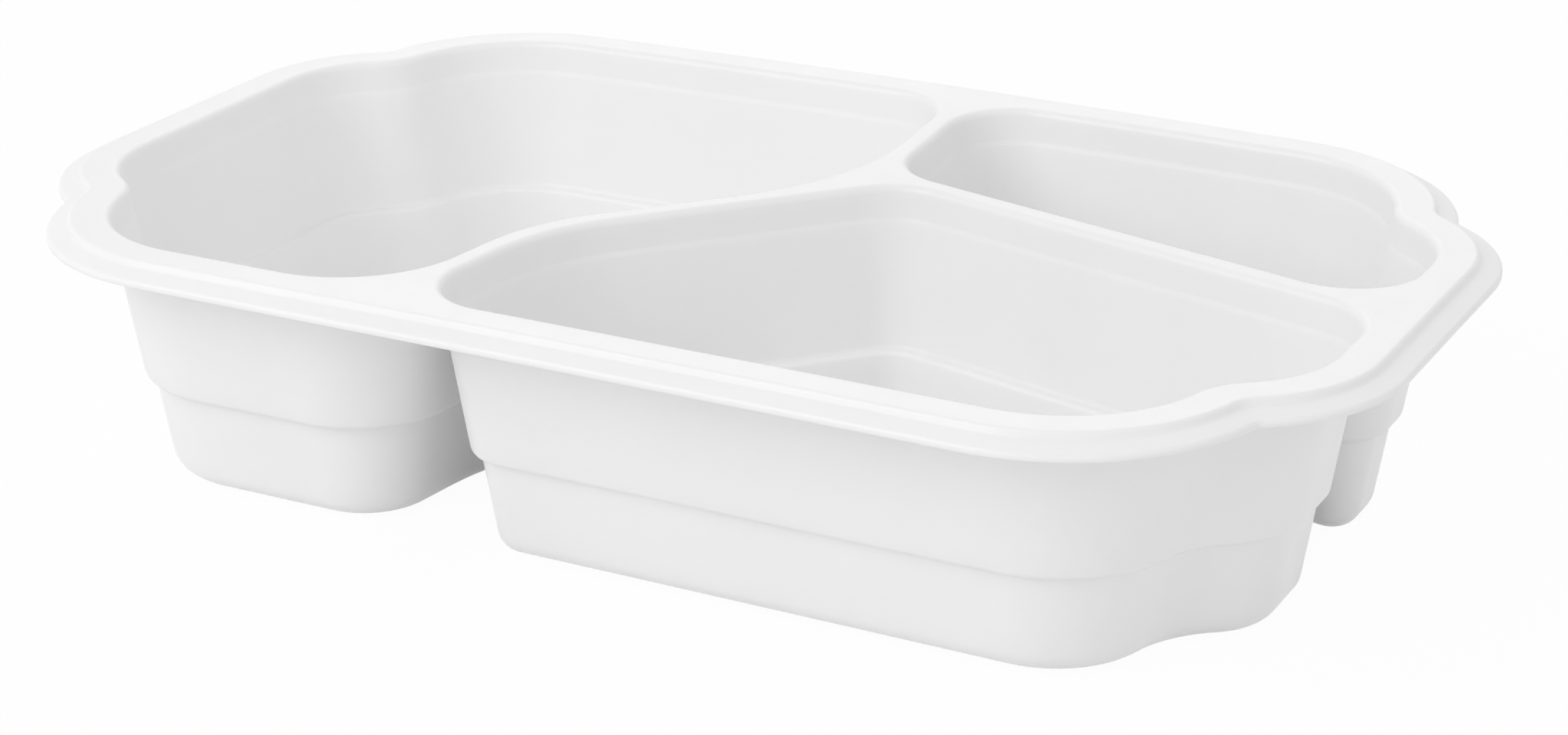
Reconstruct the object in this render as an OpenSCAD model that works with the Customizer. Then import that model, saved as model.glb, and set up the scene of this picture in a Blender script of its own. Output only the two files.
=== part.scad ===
// Three-compartment takeaway tray, thermoformed from one thin sheet.
// Origin: middle of the base plane. X runs along the tray, Y to the back, Z up.

/* [Tray] */
// Length over the lip
tray_l = 265.5; // [250:0.5:290]
// Width over the lip
tray_w = 164; // [156:1:180]
// Height from the table to the top of the flange
tray_h = 50.5; // [42:0.5:60]
// Thickness of the formed sheet
sheet = 0.7; // [0.5:0.05:0.9]

/* [Rim] */
// Flange from a compartment's edge to the shoulder
seal_w = 6.9; // [5.5:0.1:9]
// Lip outside the shoulder
lip_w = 4.9; // [4:0.1:7]
// Steep drop from the shoulder to the lip
shoulder_drop = 1.3; // [1.1:0.1:2]
// Slope of that drop, in degrees
drop_angle = 70; // [60:1:76]
// Fall of the lip from its root to its outer bend
lip_fall = 1; // [0.6:0.1:1.8]
// Turned-down edge outside the lip
edge_drop = 1.2; // [1:0.1:2]
// Radius inside the rim's bends, below the sheet
rim_inner_r = 0.15; // [0.1:0.05:0.2]

/* [Corners] */
// Radius of each corner's lobe on the long side
long_lobe_r = 27.5; // [25:0.1:31]
// Distance of that lobe's centre from the compartments' short side
long_lobe_in = 41.5; // [40:0.1:47]
// Radius of each corner's lobe on the short side
short_lobe_r = 21.5; // [19:0.1:25]
// Distance of that lobe's centre from the compartments' long side
short_lobe_in = 46.1; // [43:0.1:50]
// Radius of the inward bend between the two lobes
notch_r = 14.3; // [13:0.1:20]

/* [Dividers] */
// Width of both dividers between the compartments' edges
divider_w = 5.2; // [4.6:0.1:6.4]
// Where the curved divider meets the back, right of the middle
back_end = 10; // [4:0.5:14]
// Where the curved divider meets the front, left of the middle
front_end = 32.8; // [30:0.1:42]
// Curved divider's first bend, right of the middle
bend_1_x = 14; // [11:0.5:18]
// Curved divider's first bend, behind the middle
bend_1_y = 17; // [14:0.5:20]
// Radius of the first bend
bend_1_r = 58; // [45:1:65]
// Curved divider's second bend, left of the middle
bend_2_x = 28; // [25:0.1:32]
// Curved divider's second bend, in front of the middle
bend_2_y = 30; // [27:0.1:34]
// Radius of the second bend
bend_2_r = 40.5; // [34:0.5:46]
// Radius of the second bend on the large compartment's side
bend_2_main_r = 42; // [34:1:48]
// Angle below the X axis at which the cross divider leaves the first bend
cross_leave = 12; // [8:1:16]
// Where the cross divider meets the right side, in front of the middle
cross_end = 0.8; // [-4:0.2:6]
// Radius of the compartments' corners at the dividers
corner_r = 13.4; // [11:0.1:15]
// Radius of the large compartment's front corner at the divider
wide_corner_r = 22; // [18:0.1:25]

/* [Walls] */
// Radius over which the flange rolls into a wall
roll_r = 1.5; // [1.3:0.1:1.6]
// Lean of the walls from the vertical, in degrees
draft = 8.5; // [5:0.1:10.5]
// Depth of the step ledge below the flange
step_depth = 30.5; // [22:0.5:34]
// Inward run of the step ledge
step_in = 1.7; // [1.5:0.1:2.6]
// Fall of the step ledge over its run
step_fall = 0.3; // [0.2:0.1:0.6]
// Radius of the step ledge's two bends
step_r = 1; // [0.8:0.1:1.1]
// Radius between wall and floor
floor_r = 3.8; // [3.2:0.1:6]
// Smallest radius of a corner in plan, down at the floor
least_r = 1; // [0.6:0.1:2]

/* [Finish] */
// Sheet colour
sheet_colour = "whitesmoke"; // [whitesmoke, ivory, beige]
// Largest angle that one facet turns through in plan
facet_deg = 13; // [11:1:18]

/* [Hidden] */
half_l = tray_l / 2 - lip_w - seal_w;
half_w = tray_w / 2 - lip_w - seal_w;
face = divider_w / 2;
rim_r = sheet + rim_inner_r;
roll_steps = 3;
bend_steps = 2;
floor_steps = 4;
leg_steps = 3;

function dir(a) = [cos(a), sin(a)];
function angle_of(v) = atan2(v.y, v.x);
function unit(v) = v / norm(v);
function left_of(v) = [-v.y, v.x];
function cross2(a, b) = a.x * b.y - a.y * b.x;
function meet(p, u, q, v) = p + u * cross2(q - p, v) / cross2(u, v);
function reversed(list) = [for (i = [len(list) - 1 : -1 : 0]) list[i]];
function without_first(list) = [for (i = [1 : len(list) - 1]) list[i]];

// An arc is [centre, signed radius, start, end, skip]. The radius is negative where the outline
// bends inwards, and skip is 1 where the arc shares both of its ends with its neighbours.
function fillet(p, q, s, r) =
    let (u = unit(q - p), v = unit(s - q), turn = atan2(cross2(u, v), u * v), side = sign(turn))
    let (normal = left_of(u) * side, centre = q - u * r * tan(abs(turn) / 2) + normal * r)
    [centre, side * r, angle_of(-normal), angle_of(-normal) + turn, 0];

// Points of one arc after its outline has moved inwards by d. An outward bend keeps its centre
// until its radius is down to least_r, and from there on it keeps that radius between its sides.
function arc_points(arc, d) =
    let (
        steps = ceil(abs(arc[3] - arc[2]) / facet_deg), turn = (arc[3] - arc[2]) / steps,
        r = arc[1] < 0 ? d - arc[1] : max(arc[1] - d, least_r),
        pushed = arc[1] < 0 ? 0 : (r - arc[1] + d) / cos((arc[3] - arc[2]) / 2),
        centre = arc[0] - pushed * dir((arc[2] + arc[3]) / 2)
    )
    [for (i = [arc[4] : steps - arc[4]]) centre + r * dir(arc[2] + i * turn)];
function outline_points(arcs, d) = [for (arc = arcs) each arc_points(arc, d)];

// One corner of the compartments' common outline, in the quarter given by sx and sy, going
// round anticlockwise: two lobes with an inward bend between them
function mirrored(arc, sx, sy) =
    let (flip = function (a) sx < 0 ? (sy < 0 ? a - 180 : 180 - a) : sy < 0 ? -a : a)
    [[arc[0].x * sx, arc[0].y * sy], arc[1], flip(arc[2]), flip(arc[3]), arc[4]];
function backwards(arcs) = [for (arc = reversed(arcs)) [arc[0], arc[1], arc[3], arc[2], arc[4]]];
function corner(sx, sy) =
    let (
        long_c = [half_l - long_lobe_in, half_w - long_lobe_r],
        short_c = [half_l - short_lobe_r, half_w - short_lobe_in],
        gap = short_c - long_c, span = norm(gap),
        r1 = long_lobe_r + notch_r, r2 = short_lobe_r + notch_r,
        along = (r1 * r1 - r2 * r2 + span * span) / (2 * span), off = sqrt(r1 * r1 - along * along),
        notch_c = long_c + unit(gap) * along + left_of(unit(gap)) * off,
        a1 = angle_of(notch_c - long_c), a2 = angle_of(notch_c - short_c),
        arcs = [for (arc = [
            [short_c, short_lobe_r, 0, a2, 0],
            [notch_c, -notch_r, a2 + 180, a1 + 180, 1],
            [long_c, long_lobe_r, a1, 90, 0]
        ]) mirrored(arc, sx, sy)]
    )
    sx * sy > 0 ? arcs : backwards(arcs);
back_right = corner(1, 1);
back_left = corner(-1, 1);
front_left = corner(-1, -1);
front_right = corner(1, -1);
left_end = concat(back_left, front_left);

// The dividers' centre lines. The curved one runs from the back edge to the front edge.
bend_1 = [bend_1_x, bend_1_y];
bend_2 = [-bend_2_x, -bend_2_y];
back_point = [back_end, half_w];
front_point = [-front_end, -half_w];
leg_1 = unit(bend_1 - back_point);
leg_2 = unit(bend_2 - bend_1);
leg_3 = unit(front_point - bend_2);
bend_1_arc = fillet(back_point, bend_1, bend_2, bend_1_r);
bend_2_arc = fillet(bend_1, bend_2, front_point, bend_2_r);
split_point = bend_1_arc[0] + bend_1_r * dir(-cross_leave);
right_point = [half_l, -cross_end];
cross_leg = unit(right_point - split_point);

// Corners of the compartments, where a divider's face meets another line. The face lies s to
// the left of its centre line.
function beside(p, u, s) = p + left_of(u) * s;
function at_back(s) = meet(beside(bend_1, leg_1, s), leg_1, back_point, [1, 0]);
function at_front(s) = meet(beside(bend_2, leg_3, s), leg_3, front_point, [1, 0]);
function at_right(s) = meet(beside(right_point, cross_leg, s), cross_leg, right_point, [0, 1]);
function at_bend_1(s) = meet(beside(bend_1, leg_1, s), leg_1, beside(bend_1, leg_2, s), leg_2);
function at_bend_2(s) = meet(beside(bend_2, leg_2, s), leg_2, beside(bend_2, leg_3, s), leg_3);
function at_split(s, u) = meet(beside(right_point, cross_leg, s), cross_leg, beside(bend_1, u, face), u);
back_inner_corner = at_split(face, leg_1);
front_inner_corner = at_split(-face, leg_2);

// Each compartment's outline at the flange, anticlockwise
main_outline = concat(left_end, [
    fillet([-half_l, -half_w], at_front(-face), at_bend_2(-face), wide_corner_r),
    fillet(at_front(-face), at_bend_2(-face), at_bend_1(-face), bend_2_main_r),
    fillet(at_bend_2(-face), at_bend_1(-face), at_back(-face), bend_1_r - face),
    fillet(at_bend_1(-face), at_back(-face), [-half_l, half_w], corner_r)
]);
front_outline = concat(front_right, [
    fillet([half_l, -half_w], at_right(-face), front_inner_corner, corner_r),
    fillet(at_right(-face), front_inner_corner, at_bend_2(face), corner_r),
    fillet(front_inner_corner, at_bend_2(face), at_front(face), bend_2_r + face),
    fillet(at_bend_2(face), at_front(face), [half_l, -half_w], corner_r)
]);
back_outline = concat(back_right, [
    fillet([half_l, half_w], at_back(face), back_inner_corner, corner_r),
    fillet(at_back(face), back_inner_corner, at_right(face), corner_r),
    fillet(back_inner_corner, at_right(face), [half_l, half_w], corner_r)
]);

// The flange is laid out as three cells that meet along the dividers' centre lines.
function between(p, q, steps) = [for (i = [1 : steps - 1]) p + (q - p) * i / steps];
function part_of_bend_1(from, to) = arc_points([bend_1_arc[0], bend_1_arc[1], from, to, 0], 0);
bend_2_path = arc_points(bend_2_arc, 0);
upper_path = concat([back_point], part_of_bend_1(bend_1_arc[2], -cross_leave));
lower_path = concat(without_first(part_of_bend_1(-cross_leave, bend_1_arc[3])), bend_2_path,
    between(bend_2_path[len(bend_2_path) - 1], front_point, leg_steps), [front_point]);

// The three points where a centre line runs out to a shoulder that lies d outside
function back_foot(d) = back_point + [0, d];
function front_foot(d) = front_point - [0, d];
function right_foot(d) = right_point + [d, 0];
function main_cell(d) = concat(outline_points(left_end, -d), [front_foot(d)],
    reversed(lower_path), reversed(upper_path), [back_foot(d)]);
function front_cell(d) = concat(outline_points(front_right, -d), [right_foot(d), right_point, split_point],
    lower_path, [front_foot(d)]);
function back_cell(d) = concat(outline_points(back_right, -d), [back_foot(d)],
    upper_path, [right_point, right_foot(d)]);
function rim_points(d) = concat(outline_points(back_right, -d), [back_foot(d)],
    outline_points(left_end, -d), [front_foot(d)], outline_points(front_right, -d), [right_foot(d)]);

// A profile is a list of [run, height] with the air on the left of its direction. Runs go
// inwards from the compartment's edge, or outwards from the shoulder for the rim.
function bend(centre, r, from, to, steps) =
    [for (i = [0 : steps]) centre + r * dir(from + (to - from) * i / steps)];
function rounded(p, from, to, r) =
    let (half = (to - from) / 2, side = sign(half))
    let (centre = p - dir(from) * r * tan(abs(half)) + left_of(dir(from)) * r * side)
    bend(centre, r, from - 90 * side, to - 90 * side, bend_steps);
function down_wall(p, z) = p + [tan(draft) * (p.y - z), z - p.y];

wall_angle = draft - 90;
ledge = [step_in, -step_fall];
ledge_angle = angle_of(ledge);
ledge_r = min(step_r, norm(ledge) / 2 / tan((ledge_angle - wall_angle) / 2));
roll = bend([-roll_r, tray_h - roll_r], roll_r, 90, draft, roll_steps);
ledge_top = down_wall(roll[roll_steps], tray_h - step_depth);
ledge_end = ledge_top + ledge;
floor_start = down_wall(ledge_end, sheet + floor_r * (1 - sin(draft)));
wall_profile = concat(roll,
    rounded(ledge_top, wall_angle, ledge_angle, ledge_r),
    rounded(ledge_end, ledge_angle, wall_angle, ledge_r),
    bend(floor_start + floor_r * dir(draft), floor_r, 180 + draft, 270, floor_steps));

shoulder = [rim_r * tan(drop_angle / 2), tray_h];
lip_root = shoulder + [shoulder_drop / tan(drop_angle), -shoulder_drop];
lip_end = [lip_w, lip_root.y - lip_fall];
lip_angle = angle_of(lip_end - lip_root);
rim_profile = concat(
    bend([0, tray_h - rim_r], rim_r, 90, 90 - drop_angle, bend_steps),
    rounded(lip_root, -drop_angle, lip_angle, rim_r),
    rounded(lip_end, lip_angle, -90, rim_r),
    [lip_end - [0, edge_drop]]);

// The other side of the sheet: each profile point moved square to the profile by the sheet's
// thickness. The flange is level, and last is the direction to move the profile's last point.
function other_side(profile, last) =
    let (count = len(profile))
    [for (i = [0 : count - 1])
        let (
            before = i == 0 ? [0, 1] : left_of(unit(profile[i] - profile[i - 1])),
            after = i == count - 1 ? last : left_of(unit(profile[i + 1] - profile[i])),
            normal = i == 0 ? before : i == count - 1 ? after : (before + after) / (1 + before * after)
        )
        profile[i] - normal * sheet];
wall_under = other_side(wall_profile, [0, 1]);
rim_under = other_side(rim_profile, [1, 0]);

// Surfaces as lists of triangles. A surface is drawn with its upper side showing.
function lifted(points, z) = [for (p = points) [p.x, p.y, z]];
function turned(triangles) = [for (t = triangles) reversed(t)];
function band(a, b) = [for (i = [0 : len(a) - 1])
    let (k = (i + 1) % len(a)) each [[a[i], b[i], b[k]], [a[i], b[k], a[k]]]];
function bands(rings) = [for (i = [0 : len(rings) - 2]) each band(rings[i], rings[i + 1])];
function mean(points, i = 0) = i == len(points) ? [0, 0, 0] : points[i] / len(points) + mean(points, i + 1);
function fan(ring) =
    let (c = mean(ring))
    [for (i = [0 : len(ring) - 1]) [ring[i], c, ring[(i + 1) % len(ring)]]];

// A flat surface between two closed outlines, stitched along the shorter diagonal each time
function stitched(a, b, i = 0, j = 0, out = []) =
    i == len(a) && j == len(b) ? out
    : let (
        p = a[i % len(a)], p_next = a[(i + 1) % len(a)],
        q = b[j % len(b)], q_next = b[(j + 1) % len(b)],
        step_a = j == len(b) || (i < len(a) && norm(p_next - q) < norm(q_next - p))
    )
    step_a ? stitched(a, b, i + 1, j, concat(out, [[p, q, p_next]]))
    : stitched(a, b, i, j + 1, concat(out, [[p, q, q_next]]));

function wall_rings(outline, profile) = [for (p = profile) lifted(outline_points(outline, p[0]), p[1])];
function rim_rings(profile) = [for (p = profile) lifted(rim_points(seal_w + p[0]), p[1])];
function compartment(outline, cell, profile) =
    let (rings = wall_rings(outline, profile), edge = lifted(cell, profile[0][1]))
    concat(stitched(edge, rings[0]), bands(rings), fan(rings[len(rings) - 1]));
function whole_side(wall, rim) = concat(
    compartment(main_outline, main_cell(seal_w), wall),
    compartment(front_outline, front_cell(seal_w), wall),
    compartment(back_outline, back_cell(seal_w), wall),
    turned(bands(rim_rings(rim))));
function cut_edge() =
    let (last = len(rim_profile) - 1)
    turned(bands(rim_rings([rim_profile[last], rim_under[last]])));

module tray() {
    triangles = concat(
        whole_side(wall_profile, rim_profile),
        turned(whole_side(wall_under, rim_under)),
        cut_edge());
    corners = [for (t = triangles) each t];
    faces = [for (i = [0 : 3 : len(corners) - 1]) [i, i + 1, i + 2]];
    color(sheet_colour) polyhedron(points = corners, faces = faces);
}

tray();
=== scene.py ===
from collections import namedtuple
from math import atan2, ceil, cos, degrees, radians, sin, sqrt, tan

import bmesh
import bpy
from mathutils import Matrix, Vector, noise


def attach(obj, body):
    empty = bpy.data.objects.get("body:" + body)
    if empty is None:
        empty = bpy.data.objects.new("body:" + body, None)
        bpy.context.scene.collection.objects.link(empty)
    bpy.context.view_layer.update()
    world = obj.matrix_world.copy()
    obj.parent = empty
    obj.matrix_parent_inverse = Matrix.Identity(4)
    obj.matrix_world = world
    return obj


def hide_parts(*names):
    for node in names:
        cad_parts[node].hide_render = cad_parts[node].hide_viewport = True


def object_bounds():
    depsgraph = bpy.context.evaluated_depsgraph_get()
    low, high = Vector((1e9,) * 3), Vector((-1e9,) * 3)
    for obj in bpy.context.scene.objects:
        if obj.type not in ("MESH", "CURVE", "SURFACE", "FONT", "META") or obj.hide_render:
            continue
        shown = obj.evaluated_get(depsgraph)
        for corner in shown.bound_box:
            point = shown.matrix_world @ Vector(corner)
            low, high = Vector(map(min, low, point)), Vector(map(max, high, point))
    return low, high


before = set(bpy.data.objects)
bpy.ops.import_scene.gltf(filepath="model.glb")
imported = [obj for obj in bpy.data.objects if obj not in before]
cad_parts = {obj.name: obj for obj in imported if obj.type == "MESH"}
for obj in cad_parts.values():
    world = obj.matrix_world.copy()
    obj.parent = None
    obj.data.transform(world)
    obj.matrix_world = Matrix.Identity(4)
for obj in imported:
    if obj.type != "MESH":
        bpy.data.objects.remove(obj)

cadLow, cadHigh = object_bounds()
print("Frame loaded")

mm = 0.001
imageWidth, imageHeight = 2048, 960

# Tray: one thermoformed sheet. Millimetres and degrees, in the frame of the CAD. The length,
# width and height come from the frame. The compartments' outline is the same as the solid's.
tray = {
    "sheet": 0.7,
    "sealWidth": 6.9,        # flat flange, from a compartment's edge to the shoulder
    "lipWidth": 4.9,
    "shoulderDrop": 1.3,     # steep drop from the shoulder to the lip
    "dropAngle": 70,
    "lipFall": 1.0,
    "edgeDrop": 1.2,         # turned-down edge
    "rimRadius": 0.85,
    "longLobe": (27.5, 41.5),   # radius of each corner's two lobes, and distance in from the side
    "shortLobe": (21.5, 46.1),
    "notchRadius": 14.3,     # inward bend between them
    "dividerWidth": 5.2,
    "backEnd": 10,           # way of the curved divider, from the back to the front
    "bend1": (14, 17, 58),
    "bend2": (-28, -30, 40.5),
    "bend2MainRadius": 42,
    "frontEnd": -32.8,
    "crossLeave": 12,        # angle at which the straight divider leaves it, and its far end
    "crossEnd": -0.8,
    "cornerRadius": 13.4,
    "wideCornerRadius": 22,
    "rollRadius": 1.5,       # walls, from the flange down to the floor
    "draft": 8.5,
    "beadDepth": 6.0,        # very slight step in the upper wall
    "beadIn": 0.18,
    "beadFall": 0.9,
    "beadRadius": 1.6,
    "stepDepth": 30.5,
    "stepIn": 1.7,
    "stepFall": 0.3,
    "stepRadius": 1.0,
    "floorRadius": 3.8,
    "flatBand": 0.5,         # level strip beside each roll, so that the flange shades level
    "cutEdgeRadius": 0.12,
    "sharpAngle": 60,        # only an edge sharper than this is a cut edge
    "rollFacets": 7,         # facets across each rounded bend of the section
    "beadFacets": 2,
    "stepFacets": 4,
    "floorFacets": 8,
    "rimFacets": 6,
    "lipRootFacets": 5,
    "cutEdgeFacets": 2,
    "facetAngle": 3.5,       # and in plan, with the lengths of facets on straight stretches
    "straightStep": 5.0,
    "wallStep": 4.0,
    "floorStep": 15.0,
    "weld": 0.01,            # points closer than this are one
    "bow": 0.375,            # the cooled sheet is bowed along its length
    "restsAt": 0.83,         # and stands on its table out to this share of its half length
    "backLift": 0.92,        # the rim has sprung up at the middle of its back
    "wander": 0.07,          # unevenness of the drawn walls, and its size
    "wanderSize": 30,
    "wanderSeed": 7,
}

halfLength = (cadHigh.x - cadLow.x) / 2 / mm
halfWidth = (cadHigh.y - cadLow.y) / 2 / mm
height = (cadHigh.z - cadLow.z) / mm
halfL = halfLength - tray["lipWidth"] - tray["sealWidth"]
halfW = halfWidth - tray["lipWidth"] - tray["sealWidth"]
face = tray["dividerWidth"] / 2

shortestLeg = 0.05       # two bends closer than this meet without a straight leg

# A bend of an outline in plan, with its first angle and signed turn
Bend = namedtuple("Bend", "centre radius start turn")


def plan(x, y):
    return Vector((x, y, 0))


def direction(angle):
    return plan(cos(radians(angle)), sin(radians(angle)))


def angleOf(v):
    return degrees(atan2(v.y, v.x))


def leftOf(v):
    return plan(-v.y, v.x)


def crossOf(a, b):
    return a.x * b.y - a.y * b.x


def meetingPoint(p, u, q, v):
    return p + u * (crossOf(q - p, v) / crossOf(u, v))


def besideLeg(p, u, side):
    return p + leftOf(u) * side


def filletAt(before, corner, after, radius):
    u, v = (corner - before).normalized(), (after - corner).normalized()
    turn = degrees(atan2(crossOf(u, v), u.dot(v)))
    side = 1 if turn > 0 else -1
    normal = leftOf(u) * side
    centre = corner - u * (radius * tan(radians(abs(turn) / 2))) + normal * radius
    return Bend(centre, radius, angleOf(-normal), turn)


def lobedCorner(sideX, sideY):
    longRadius, longIn = tray["longLobe"]
    shortRadius, shortIn = tray["shortLobe"]
    notch = tray["notchRadius"]
    longCentre = plan(halfL - longIn, halfW - longRadius)
    shortCentre = plan(halfL - shortRadius, halfW - shortIn)
    gap = shortCentre - longCentre
    span, along = gap.length, gap.normalized()
    r1, r2 = longRadius + notch, shortRadius + notch
    reach = (r1 * r1 - r2 * r2 + span * span) / (2 * span)
    notchCentre = longCentre + along * reach + leftOf(along) * sqrt(r1 * r1 - reach * reach)
    a1, a2 = angleOf(notchCentre - longCentre), angleOf(notchCentre - shortCentre)
    bends = [Bend(shortCentre, shortRadius, 0, a2), Bend(notchCentre, notch, a2 + 180, a1 - a2),
             Bend(longCentre, longRadius, a1, 90 - a1)]

    def mirrorAngle(a):
        a = 180 - a if sideX < 0 else a
        return -a if sideY < 0 else a

    flipped = [Bend(plan(b.centre.x * sideX, b.centre.y * sideY), b.radius, mirrorAngle(b.start),
                    b.turn * sideX * sideY) for b in bends]
    if sideX * sideY > 0:
        return flipped
    # a single mirroring reverses the way round, so the bends are walked backwards
    return [Bend(b.centre, b.radius, b.start + b.turn, -b.turn) for b in reversed(flipped)]


def dividedOutlines():
    bend1, bend2 = plan(*tray["bend1"][:2]), plan(*tray["bend2"][:2])
    radius1, radius2 = tray["bend1"][2], tray["bend2"][2]
    backPoint, frontPoint = plan(tray["backEnd"], halfW), plan(tray["frontEnd"], -halfW)
    leg1, leg2, leg3 = [(b - a).normalized()
                        for a, b in ((backPoint, bend1), (bend1, bend2), (bend2, frontPoint))]
    split = filletAt(backPoint, bend1, bend2, radius1).centre + direction(-tray["crossLeave"]) * radius1
    rightPoint = plan(halfL, tray["crossEnd"])
    crossLeg = (rightPoint - split).normalized()

    def atBack(s):
        return meetingPoint(besideLeg(bend1, leg1, s), leg1, backPoint, plan(1, 0))

    def atFront(s):
        return meetingPoint(besideLeg(bend2, leg3, s), leg3, frontPoint, plan(1, 0))

    def atRight(s):
        return meetingPoint(besideLeg(rightPoint, crossLeg, s), crossLeg, rightPoint, plan(0, 1))

    def atBend1(s):
        return meetingPoint(besideLeg(bend1, leg1, s), leg1, besideLeg(bend1, leg2, s), leg2)

    def atBend2(s):
        return meetingPoint(besideLeg(bend2, leg2, s), leg2, besideLeg(bend2, leg3, s), leg3)

    def atSplit(s, leg):
        return meetingPoint(besideLeg(rightPoint, crossLeg, s), crossLeg, besideLeg(bend1, leg, face), leg)

    corner = tray["cornerRadius"]
    backInner, frontInner = atSplit(face, leg1), atSplit(-face, leg2)
    main = lobedCorner(-1, 1) + lobedCorner(-1, -1) + [
        filletAt(plan(-halfL, -halfW), atFront(-face), atBend2(-face), tray["wideCornerRadius"]),
        filletAt(atFront(-face), atBend2(-face), atBend1(-face), tray["bend2MainRadius"]),
        filletAt(atBend2(-face), atBend1(-face), atBack(-face), radius1 - face),
        filletAt(atBend1(-face), atBack(-face), plan(-halfL, halfW), corner)]
    front = lobedCorner(1, -1) + [
        filletAt(plan(halfL, -halfW), atRight(-face), frontInner, corner),
        filletAt(atRight(-face), frontInner, atBend2(face), corner),
        filletAt(frontInner, atBend2(face), atFront(face), radius2 + face),
        filletAt(atBend2(face), atFront(face), plan(halfL, -halfW), corner)]
    back = lobedCorner(1, 1) + [
        filletAt(plan(halfL, halfW), atBack(face), backInner, corner),
        filletAt(atBack(face), backInner, atRight(face), corner),
        filletAt(backInner, atRight(face), plan(halfL, halfW), corner)]
    return main, front, back


def drawSection(bm, corners, bend, side):
    # the sheet's cross-section where an outline begins. A corner is (run across the outline,
    # height, bend radius, facets), and a bevel rounds it.
    heading = direction(bend.start + (90 if bend.turn > 0 else -90))
    start, across = bend.centre + direction(bend.start) * bend.radius, leftOf(heading) * side
    spots = [start + across * run + Vector((0, 0, level)) for run, level, radius, facets in corners]
    verts = [bm.verts.new(spot) for spot in spots]
    for pair in zip(verts, verts[1:]):
        bm.edges.new(pair)
    for i, (run, level, radius, facets) in enumerate(corners):
        if radius:
            turn = (spots[i] - spots[i - 1]).angle(spots[i + 1] - spots[i])
            bmesh.ops.bevel(bm, geom=[verts[i]], offset=radius * tan(turn / 2), offset_type="OFFSET",
                            segments=facets, profile=0.5, affect="VERTICES", material=-1)
    for edge in list(bm.edges):
        cuts = int(edge.calc_length() / tray["wallStep"])
        if cuts:
            bmesh.ops.subdivide_edges(bm, edges=[edge], cuts=cuts)


def sweepRound(corners, bends, side):
    # draws the section round the whole outline: spun through its bends, extruded along its legs
    bm = bmesh.new()
    drawSection(bm, corners, bends[0], side)
    section = list(bm.verts) + list(bm.edges)
    for bend, following in zip(bends, bends[1:] + bends[:1]):
        steps = ceil(abs(bend.turn) / tray["facetAngle"])
        section = bmesh.ops.spin(bm, geom=section, cent=bend.centre, axis=(0, 0, 1), dvec=(0, 0, 0),
                                 angle=radians(bend.turn), steps=steps, use_merge=False,
                                 use_duplicate=False)["geom_last"]
        leg = (following.centre + direction(following.start) * following.radius
               - bend.centre - direction(bend.start + bend.turn) * bend.radius)
        count = ceil(leg.length / tray["straightStep"]) if leg.length > shortestLeg else 0
        for _ in range(count):
            edges = [part for part in section if isinstance(part, bmesh.types.BMEdge)]
            drawn = bmesh.ops.extrude_edge_only(bm, edges=edges)["geom"]
            section = [part for part in drawn if not isinstance(part, bmesh.types.BMFace)]
            verts = [part for part in section if isinstance(part, bmesh.types.BMVert)]
            bmesh.ops.translate(bm, vec=leg / count, verts=verts)
    bmesh.ops.remove_doubles(bm, verts=bm.verts, dist=tray["weld"])
    return bm


def openEdges(bm, level):
    return [e for e in bm.edges
            if e.is_boundary and all(abs(v.co.z - level) < tray["weld"] for v in e.verts)]


def addTo(bm, other):
    scratch = bpy.data.meshes.new("scratch")
    other.to_mesh(scratch)
    other.free()
    bm.from_mesh(scratch)
    bpy.data.meshes.remove(scratch)


def cutIntoGrid(bm, faces):
    # lets a filled floor bow with the rest
    verts = dict.fromkeys(v for f in faces for v in f.verts)
    edges = dict.fromkeys(e for f in faces for e in f.edges)
    geom, reach = [*verts, *edges, *faces], int(halfLength / tray["floorStep"])
    for axis in (plan(1, 0), plan(0, 1)):
        for k in range(-reach, reach + 1):
            geom = bmesh.ops.bisect_plane(bm, geom=geom, dist=0.001, plane_no=axis,
                                          plane_co=axis * (k * tray["floorStep"]))["geom"]


def makeCompartment(bends):
    draft, roll, floorRadius = tray["draft"], tray["rollRadius"], tray["floorRadius"]
    slope, half = tan(radians(draft)), tan(radians((90 - draft) / 2))
    top = roll * (half - 1)                        # where the wall's line meets the flange's plane
    beadTop = top + slope * tray["beadDepth"] - tray["beadIn"]
    beadEnd = tray["beadDepth"] + tray["beadFall"]
    ledge, ledgeEnd = top + slope * tray["stepDepth"], tray["stepDepth"] + tray["stepFall"]
    floorAt = ledge + tray["stepIn"] + slope * (height - ledgeEnd - tray["sheet"])
    corners = [
        (-roll - tray["flatBand"], height, 0, 0),
        (top, height, roll, tray["rollFacets"]),
        (beadTop, height - tray["beadDepth"], tray["beadRadius"], tray["beadFacets"]),
        (top + slope * beadEnd, height - beadEnd, tray["beadRadius"], tray["beadFacets"]),
        (ledge, height - tray["stepDepth"], tray["stepRadius"], tray["stepFacets"]),
        (ledge + tray["stepIn"], height - ledgeEnd, tray["stepRadius"], tray["stepFacets"]),
        (floorAt, tray["sheet"], floorRadius, tray["floorFacets"]),
        (floorAt + floorRadius * half + tray["flatBand"], tray["sheet"], 0, 0)]
    bm = sweepRound(corners, bends, 1)
    floor = bmesh.ops.triangle_fill(bm, edges=openEdges(bm, tray["sheet"]), use_beauty=True)["geom"]
    cutIntoGrid(bm, [part for part in floor if isinstance(part, bmesh.types.BMFace)])
    return bm


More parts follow.
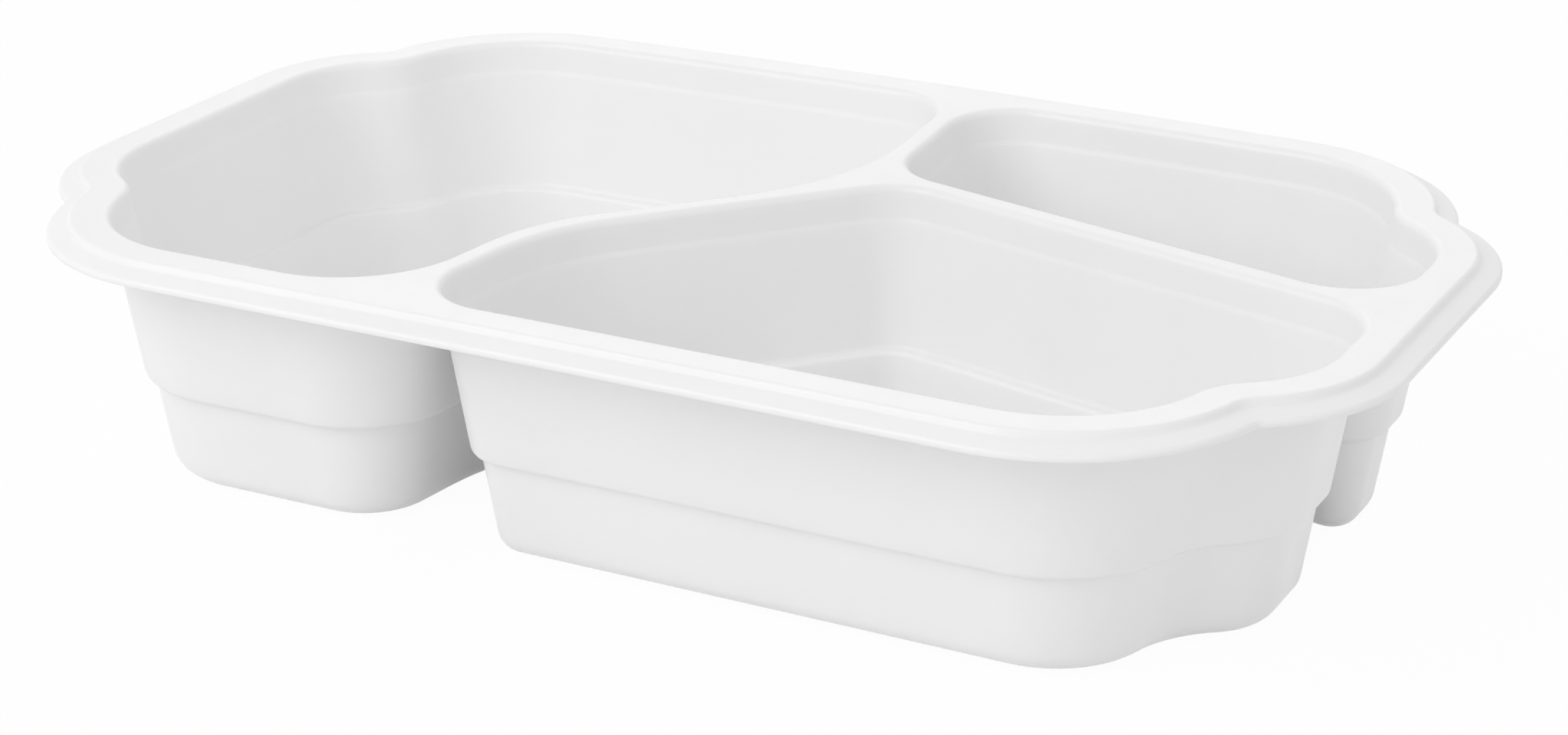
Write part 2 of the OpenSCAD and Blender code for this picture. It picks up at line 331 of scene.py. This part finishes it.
def makeRim():
    bends = lobedCorner(1, 1) + lobedCorner(-1, 1) + lobedCorner(-1, -1) + lobedCorner(1, -1)
    inner, radius = tray["sealWidth"], tray["rimRadius"]
    shoulder = inner + radius * tan(radians(tray["dropAngle"] / 2))
    root = shoulder + tray["shoulderDrop"] / tan(radians(tray["dropAngle"]))
    lipEdge, rootLevel = inner + tray["lipWidth"], height - tray["shoulderDrop"]
    edgeLevel = rootLevel - tray["lipFall"]
    return sweepRound([
        (inner - tray["flatBand"], height, 0, 0),
        (shoulder, height, radius, tray["rimFacets"]),
        (root, rootLevel, radius, tray["lipRootFacets"]),
        (lipEdge, edgeLevel, radius, tray["rimFacets"]),
        (lipEdge, edgeLevel - tray["edgeDrop"], 0, 0)], bends, -1)


def restingShape(co):
    # where the cooled sheet has gone: bowed along its length, sprung up at the back, and uneven
    x, y, h = co.x / halfLength, co.y / halfWidth, co.z / height
    lift = tray["bow"] * (tray["restsAt"] ** 2 - x * x)
    lift += tray["backLift"] * h * h * max(y, 0) ** 2 * (1 - x * x) ** 2
    uneven = noise.noise_vector(co / tray["wanderSize"]) * tray["wander"] * min(1, 4 * h)
    return co + uneven + Vector((0, 0, lift))


def finishPiece(bm, name, material):
    mesh = bpy.data.meshes.new(name)
    bm.to_mesh(mesh)
    bm.free()
    mesh.shade_smooth()
    piece = bpy.data.objects.new(name, mesh)
    bpy.context.scene.collection.objects.link(piece)
    mesh.materials.append(material)
    return piece


def makeTray(material):
    bm = bmesh.new()
    for bends in dividedOutlines():
        addTo(bm, makeCompartment(bends))
    addTo(bm, makeRim())
    bmesh.ops.triangle_fill(bm, edges=openEdges(bm, height), use_beauty=True)
    bmesh.ops.remove_doubles(bm, verts=bm.verts, dist=tray["weld"])
    bmesh.ops.recalc_face_normals(bm, faces=bm.faces)
    if max(bm.faces, key=lambda f: f.calc_center_median().z).normal.z < 0:
        bmesh.ops.reverse_faces(bm, faces=bm.faces)
    noise.seed_set(tray["wanderSeed"])
    for v in bm.verts:
        v.co = restingShape(v.co)
    bmesh.ops.scale(bm, vec=(mm, mm, mm), verts=bm.verts)
    piece = finishPiece(bm, "formed_tray", material)
    sheet = piece.modifiers.new("sheet", "SOLIDIFY")
    sheet.thickness = tray["sheet"] * mm
    sheet.offset = -1
    sheet.use_even_offset = True
    edge = piece.modifiers.new("cut edge", "BEVEL")
    edge.width = tray["cutEdgeRadius"] * mm
    edge.segments = tray["cutEdgeFacets"]
    edge.limit_method = "ANGLE"
    edge.angle_limit = radians(tray["sharpAngle"])
    return piece


def toLinear(hexColour):
    channels = [int(hexColour[i:i + 2], 16) / 255 for i in (1, 3, 5)]
    return tuple(c / 12.92 if c <= 0.04045 else ((c + 0.055) / 1.055) ** 2.4 for c in channels) + (1,)


def addNode(tree, kind, inputs=(), **settings):
    # inputs: pairs of socket name and either a value or another node's output
    node = tree.nodes.new(kind)
    for name, value in settings.items():
        setattr(node, name, value)
    for socket, value in inputs:
        if isinstance(value, bpy.types.NodeSocket):
            tree.links.new(value, node.inputs[socket])
        else:
            node.inputs[socket].default_value = value
    return node


# Satin bioplastic: white PLA-type sheet, vacuum formed. It is a soft white with a broad, low gloss,
# a faint cloudiness where the sheet has stretched unevenly, and light passes a little way into it.
bioplastic = {
    "colour": "#FAFAFA",
    "thinColour": "#F8F8F8",
    "cloudMm": 22,           # size of the cloudy patches
    "cloudRange": (0.35, 0.65),
    "roughness": (0.3, 0.4),
    "bloomMm": 5,            # size of the duller and glossier patches
    "bloomRange": (0.3, 0.7),
    "grainMm": 0.5,          # mould grain, drawn about twice as coarse as the real one
    "grainDepthMm": 0.004,
    "rippleMm": 11,          # slow waves of the drawn sheet
    "rippleDepthMm": 0.03,
    "ior": 1.46,
    "scatter": 0.4,          # share of the light that goes into the sheet, and how far it gets
    "scatterMm": 0.8,
}


def makeSatinBioplastic():
    material = bpy.data.materials.new("satin_bioplastic")
    material.use_nodes = True
    tree = material.node_tree
    shader = tree.nodes["Principled BSDF"]
    place = addNode(tree, "ShaderNodeTexCoord").outputs["Object"]

    def noiseOf(sizeMm, detail=2.0):
        return addNode(tree, "ShaderNodeTexNoise", [("Vector", place), ("Scale", 1 / (sizeMm * mm)),
                                                    ("Detail", detail)]).outputs["Fac"]

    def spreadOf(value, fromRange, toRange):
        return addNode(tree, "ShaderNodeMapRange", [
            ("Value", value), ("From Min", fromRange[0]), ("From Max", fromRange[1]),
            ("To Min", toRange[0]), ("To Max", toRange[1])]).outputs["Result"]

    # sockets 6 and 7 are the Mix node's two colours, and output 2 its colour result
    clouds = spreadOf(noiseOf(bioplastic["cloudMm"]), bioplastic["cloudRange"], (0, 1))
    colour = addNode(tree, "ShaderNodeMix", [("Factor", clouds), (6, toLinear(bioplastic["thinColour"])),
                                             (7, toLinear(bioplastic["colour"]))], data_type="RGBA")
    tree.links.new(colour.outputs[2], shader.inputs["Base Color"])
    bloom = spreadOf(noiseOf(bioplastic["bloomMm"], 4), bioplastic["bloomRange"], bioplastic["roughness"])
    tree.links.new(bloom, shader.inputs["Roughness"])
    ripple = addNode(tree, "ShaderNodeBump", [("Height", noiseOf(bioplastic["rippleMm"], 1)),
                                              ("Distance", bioplastic["rippleDepthMm"] * mm)])
    grain = addNode(tree, "ShaderNodeBump", [("Height", noiseOf(bioplastic["grainMm"])),
                                             ("Distance", bioplastic["grainDepthMm"] * mm),
                                             ("Normal", ripple.outputs["Normal"])])
    tree.links.new(grain.outputs["Normal"], shader.inputs["Normal"])
    shader.inputs["IOR"].default_value = bioplastic["ior"]
    shader.inputs["Subsurface Weight"].default_value = bioplastic["scatter"]
    shader.inputs["Subsurface Radius"].default_value = (1, 1, 1)
    shader.inputs["Subsurface Scale"].default_value = bioplastic["scatterMm"] * mm
    return material


trayPiece = makeTray(makeSatinBioplastic())
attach(trayPiece, "root")
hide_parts("tray")
print("Tray:", len(trayPiece.data.polygons), "faces before its thickness")

# Studio: white floor and white surroundings, with soft lamps
studio = {
    "floorColour": "#F4F4F4",
    "floorHalf": 6,          # half the floor's side, in metres
    "floorGlow": 0.96,       # how far the floor shows as plain white, over its shadow
    "world": 0.65,
    # name, place, point aimed at, size in metres, power in watts
    "lamps": (
        ("key", (-0.45, -0.9, 0.78), (0, 0, 0.02), 0.8, 4.5),
        ("back", (-0.4, 1.0, 0.75), (0, 0, 0.03), 0.9, 1.7),
        ("fill", (1.1, -0.3, 0.5), (0, 0, 0.03), 0.8, 0.7),
    ),
}


def whiteToCamera(tree):
    path = addNode(tree, "ShaderNodeLightPath").outputs
    either = path["Is Camera Ray"]
    for other in ("Is Glossy Ray", "Is Transmission Ray"):
        either = addNode(tree, "ShaderNodeMath", [(0, either), (1, path[other])],
                         operation="MAXIMUM").outputs[0]
    return either


def makeStudio():
    white = bpy.data.materials.new("white_backdrop")
    white.use_nodes = True
    tree = white.node_tree
    tree.nodes.clear()
    paper = addNode(tree, "ShaderNodeBsdfDiffuse", [("Color", toLinear(studio["floorColour"]))])
    glow = addNode(tree, "ShaderNodeEmission", [("Strength", 1.0)])
    share = addNode(tree, "ShaderNodeMath", [(0, whiteToCamera(tree)), (1, studio["floorGlow"])],
                    operation="MULTIPLY")
    mixed = addNode(tree, "ShaderNodeMixShader", [(0, share.outputs[0]), (1, paper.outputs[0]),
                                                  (2, glow.outputs[0])])
    addNode(tree, "ShaderNodeOutputMaterial", [("Surface", mixed.outputs[0])])

    bm = bmesh.new()
    bmesh.ops.create_grid(bm, x_segments=1, y_segments=1, size=studio["floorHalf"])
    floor = finishPiece(bm, "floor", white)

    world = bpy.data.worlds.new("studio")
    bpy.context.scene.world = world
    world.use_nodes = True
    tree = world.node_tree
    tree.nodes.clear()
    light = addNode(tree, "ShaderNodeBackground", [("Color", (1, 1, 1, 1)), ("Strength", studio["world"])])
    seen = addNode(tree, "ShaderNodeBackground", [("Color", (1, 1, 1, 1)), ("Strength", 1.0)])
    mixed = addNode(tree, "ShaderNodeMixShader", [(0, whiteToCamera(tree)), (1, light.outputs[0]),
                                                  (2, seen.outputs[0])])
    addNode(tree, "ShaderNodeOutputWorld", [("Surface", mixed.outputs[0])])

    for name, place, aim, size, power in studio["lamps"]:
        lamp = bpy.data.lights.new(name, "AREA")
        lamp.size = size
        lamp.energy = power
        holder = bpy.data.objects.new(name, lamp)
        holder.location = place
        holder.rotation_euler = (Vector(aim) - Vector(place)).to_track_quat("-Z", "Y").to_euler()
        bpy.context.scene.collection.objects.link(holder)


makeStudio()
print("Studio made")

# Camera matched to the photograph: angles in degrees, lengths in millimetres, pixels of the image
cameraFit = {
    "azimuth": 27.684,
    "elevation": 23.177,
    "roll": 0.295,
    "target": (59.131, -95.583, 50.635),
    "distance": 509.08,
    "focalPixels": 4343.54,
    "axisPixel": (1042.53, 572.69),
}


def makeCamera():
    a, e, r = (radians(cameraFit[key]) for key in ("azimuth", "elevation", "roll"))
    back = Vector((sin(a) * cos(e), -cos(a) * cos(e), sin(e)))
    right = (-back).cross(Vector((0, 0, 1))).normalized()
    up = right.cross(-back)
    turnedRight, turnedUp = right * cos(r) - up * sin(r), right * sin(r) + up * cos(r)
    lens = bpy.data.cameras.new("photo")
    lens.sensor_fit, lens.sensor_width = "HORIZONTAL", 36
    lens.lens = cameraFit["focalPixels"] / imageWidth * lens.sensor_width
    lens.shift_x = (imageWidth / 2 - cameraFit["axisPixel"][0]) / imageWidth
    lens.shift_y = (cameraFit["axisPixel"][1] - imageHeight / 2) / imageWidth
    lens.clip_start, lens.clip_end = 0.01, 50
    holder = bpy.data.objects.new("photo", lens)
    place = (Vector(cameraFit["target"]) + back * cameraFit["distance"]) * mm
    turned = Matrix((turnedRight, turnedUp, back)).transposed().to_4x4()
    holder.matrix_world = Matrix.Translation(place) @ turned
    bpy.context.scene.collection.objects.link(holder)
    bpy.context.scene.camera = holder


makeCamera()
bpy.context.scene.view_settings.view_transform = "Standard"
print("Camera set")
